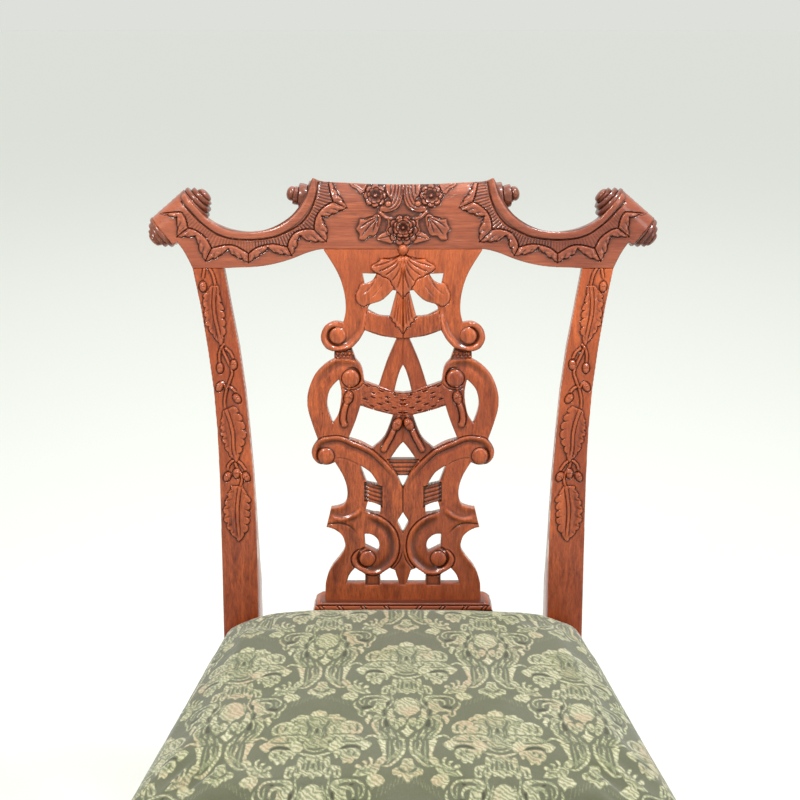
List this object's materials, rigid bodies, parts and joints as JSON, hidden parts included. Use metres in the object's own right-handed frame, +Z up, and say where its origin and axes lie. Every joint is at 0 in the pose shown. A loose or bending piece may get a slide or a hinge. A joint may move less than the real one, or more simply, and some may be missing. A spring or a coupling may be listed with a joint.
{
  "type": "side chair",
  "caption": "Carved hardwood side chair with a pierced splat, rolled ears, claw feet and an upholstered seat that lifts out.",
  "frame": {"origin": "on the floor, under the middle of the chair's box", "axes": "+Z up, the sitter faces -Y, +X is to the right as seen from the front"},
  "size_m": [0.5922, 0.5668, 0.9863],
  "materials": {
    "carved_wood": "satin",
    "frame_wood": "matte",
    "webbing_jute": "matte",
    "seat_foam": "matte",
    "seat_fabric": "matte",
    "dust_cloth": "matte",
    "screw_steel": "satin"
  },
  "bodies": {
    "frame": {"back_post_left": "carved_wood", "back_post_right": "carved_wood", "crest_rail": "carved_wood", "back_splat": "carved_wood", "splat_shoe": "carved_wood", "ear_volute_left_upper": "carved_wood", "ear_volute_left_lower": "carved_wood", "ear_volute_right_upper": "carved_wood", "ear_volute_right_lower": "carved_wood", "shoulder_volute_left": "carved_wood", "shoulder_volute_right": "carved_wood", "seat_rail_front": "carved_wood", "seat_rail_rear": "carved_wood", "seat_rail_left": "carved_wood", "seat_rail_right": "carved_wood", "front_leg_left": "carved_wood", "front_leg_right": "carved_wood", "knee_block_left_front": "carved_wood", "knee_block_left_side": "carved_wood", "knee_block_right_front": "carved_wood", "knee_block_right_side": "carved_wood", "corner_block_front_left": "frame_wood", "corner_block_front_right": "frame_wood", "corner_block_rear_left": "frame_wood", "corner_block_rear_right": "frame_wood", "corner_block_front_left_screw_a": "screw_steel", "corner_block_front_left_screw_b": "screw_steel", "corner_block_front_right_screw_a": "screw_steel", "corner_block_front_right_screw_b": "screw_steel", "corner_block_rear_left_screw_a": "screw_steel", "corner_block_rear_left_screw_b": "screw_steel", "corner_block_rear_right_screw_a": "screw_steel", "corner_block_rear_right_screw_b": "screw_steel"},
    "slip_seat": {"seat_frame_front": "frame_wood", "seat_frame_rear": "frame_wood", "seat_frame_left": "frame_wood", "seat_frame_right": "frame_wood", "webbing_lengthwise_1": "webbing_jute", "webbing_lengthwise_2": "webbing_jute", "webbing_lengthwise_3": "webbing_jute", "webbing_crosswise_1": "webbing_jute", "webbing_crosswise_2": "webbing_jute", "webbing_crosswise_3": "webbing_jute", "seat_foam": "seat_foam", "seat_cover": "seat_fabric", "dust_cover": "dust_cloth"}
  },
  "joints": [
    {"name": "seat_lift", "type": "slide", "parent": "frame", "child": "slip_seat", "axis": [0, 0, 1], "range_m": [0, 0.15]}
  ]
}
